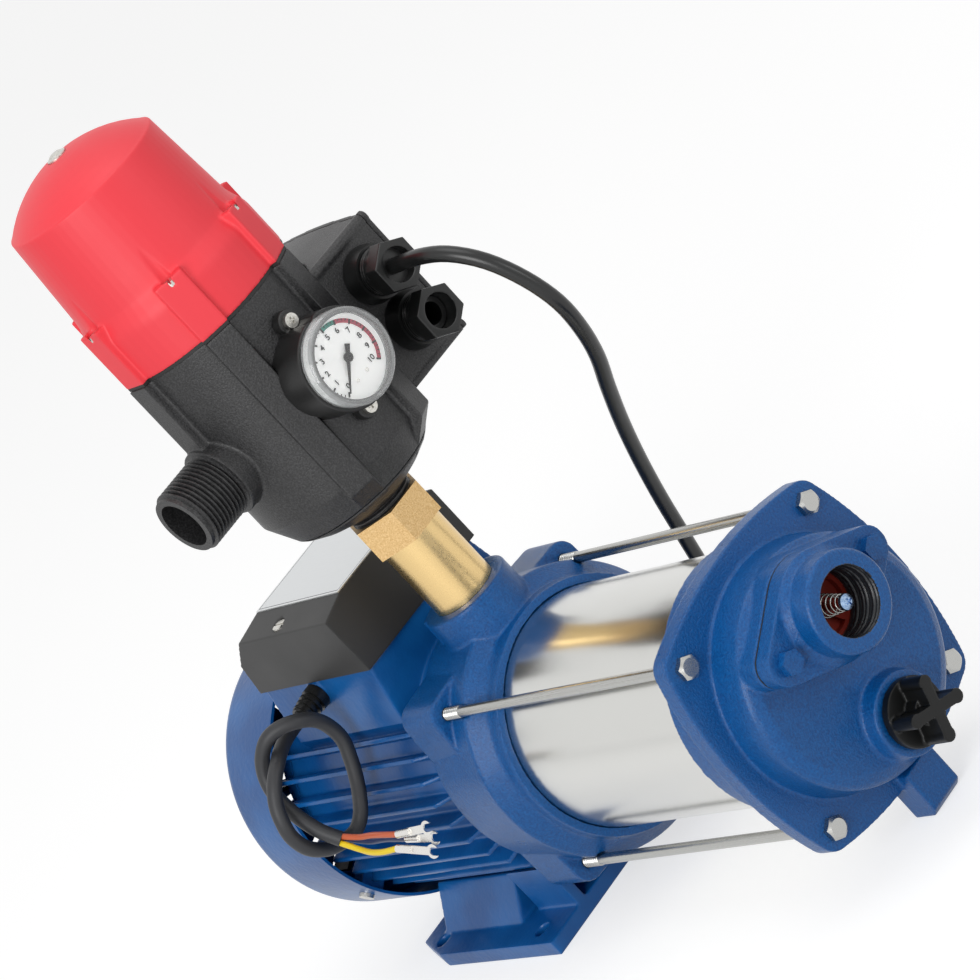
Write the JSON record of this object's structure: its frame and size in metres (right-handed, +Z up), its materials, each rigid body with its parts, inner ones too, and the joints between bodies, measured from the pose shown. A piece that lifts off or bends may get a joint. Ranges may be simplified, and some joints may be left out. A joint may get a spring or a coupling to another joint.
{
  "type": "centrifugal pump",
  "caption": "Horizontal multistage water pump with a finned electric motor, a screwed inlet with check valve, and an upright pressure controller with gauge on the outlet.",
  "frame": {"origin": "on the floor plane, at the centre of the four foot bolt holes", "axes": "+X along the shaft and out of the inlet, +Z up, -Y out of the controller outlet"},
  "size_m": [0.5159, 0.3088, 0.4377],
  "materials": {
    "blue_enamel": "sprayed enamel on rough castings, satin",
    "polished_steel": "polished stainless sheet",
    "zinc_steel": "zinc-plated steel",
    "black_plastic": "moulded glass-filled plastic, fine grain",
    "red_plastic": "moulded plastic, satin",
    "red_valve": "moulded plastic",
    "brass": "turned brass",
    "rubber": "cable sheath and seals",
    "wire_cover": "soft wire insulation",
    "impeller_plastic": "moulded plastic",
    "white_plastic": "printed dial, plain numbers",
    "clear_plastic": "clear window",
    "clear_rim": "clear rim of the gauge",
    "bare_aluminium": "bare plate",
    "carbon": "carbon seal ring",
    "ceramic": "ceramic seal seat",
    "core_iron": "stacked iron sheets",
    "copper_wire": "enamelled copper wire",
    "needle_black": "black enamel"
  },
  "bodies": {
    "pump": {"suction_cover": "blue_enamel", "suction_gasket": "rubber", "suction_flange": "blue_enamel", "suction_flange_screws": "blue_enamel", "check_valve_guide": "red_valve", "check_valve_spring": "zinc_steel", "tie_bolts": "zinc_steel", "pump_tube": "polished_steel", "tube_seals": "rubber", "discharge_bracket": "blue_enamel", "diffusers": "impeller_plastic", "seal_seat": "ceramic", "front_bearing": "zinc_steel", "rear_bearing": "zinc_steel", "stator_core": "core_iron", "stator_windings": "copper_wire", "motor_housing": "blue_enamel", "rear_end_shield": "blue_enamel", "fan_cover": "blue_enamel", "fan_cover_screws": "zinc_steel", "motor_foot": "blue_enamel", "foot_screws": "zinc_steel", "terminal_cover": "black_plastic", "terminal_cover_screws": "zinc_steel", "rating_plate": "bare_aluminium", "run_capacitor": "bare_aluminium", "motor_lead_gland": "black_plastic", "motor_lead": "rubber", "motor_lead_wires": "wire_cover", "fork_terminals": "zinc_steel", "outlet_adapter": "brass", "controller_body": "black_plastic", "controller_cap": "red_plastic", "controller_screws": "zinc_steel", "cap_air_valve": "zinc_steel", "diaphragm": "rubber", "gauge_cup": "black_plastic", "gauge_dial": "white_plastic", "gauge_bezel": "clear_rim", "gauge_lens": "clear_plastic", "electronics_case": "black_plastic", "electronics_panel": "black_plastic", "cable_glands": "black_plastic", "gland_nuts": "black_plastic", "mains_lead": "rubber", "mains_coil": "rubber", "mains_plug": "black_plastic"},
    "rotor": {"pump_shaft": "zinc_steel", "impellers": "impeller_plastic", "shaft_nut": "zinc_steel", "seal_rotary": "carbon", "rotor_core": "core_iron", "cooling_fan": "black_plastic"},
    "check_valve": {"check_valve_disc": "red_valve", "check_valve_screw": "zinc_steel"},
    "plug_seal": {"drain_plug_seal": "rubber"},
    "drain_plug": {"drain_plug": "black_plastic"},
    "needle": {"gauge_needle": "needle_black"},
    "flow_piston": {"flow_piston": "impeller_plastic"},
    "restart_button": {"restart_button": "red_plastic"}
  },
  "joints": [
    {"name": "shaft_spin", "type": "hinge", "parent": "pump", "child": "rotor", "pos_m": [0, 0, 0.084], "axis": [1, 0, 0], "continuous": true},
    {"name": "check_valve_opening", "type": "slide", "parent": "pump", "child": "check_valve", "axis": [-1, 0, 0], "range_m": [0, 0.006], "stiffness_N_per_m": 80, "deforming": ["check_valve_spring"]},
    {"name": "drain_plug_travel", "type": "slide", "parent": "pump", "child": "plug_seal", "axis": [1, 0, 0], "range_m": [0, 0.01]},
    {"name": "drain_plug_turn", "type": "hinge", "parent": "plug_seal", "child": "drain_plug", "pos_m": [0.3, 0, 0.0501], "axis": [1, 0, 0], "range_deg": [0, 1801]},
    {"name": "gauge_needle_turn", "type": "hinge", "parent": "pump", "child": "needle", "pos_m": [0.1684, 0, 0.296], "axis": [-1, 0, 0], "range_deg": [0, 270], "stiffness_Nm_per_rad": 0.0002},
    {"name": "flow_piston_lift", "type": "slide", "parent": "pump", "child": "flow_piston", "axis": [0, 0, 1], "range_m": [0, 0.012]},
    {"name": "restart_button_press", "type": "slide", "parent": "pump", "child": "restart_button", "axis": [0, -1, 0], "range_m": [0, 0.0015], "stiffness_N_per_m": 400}
  ],
  "couplings": [
    {"joint": "drain_plug_turn", "follows": "drain_plug_travel", "rad_per_m": 3141.6}
  ]
}
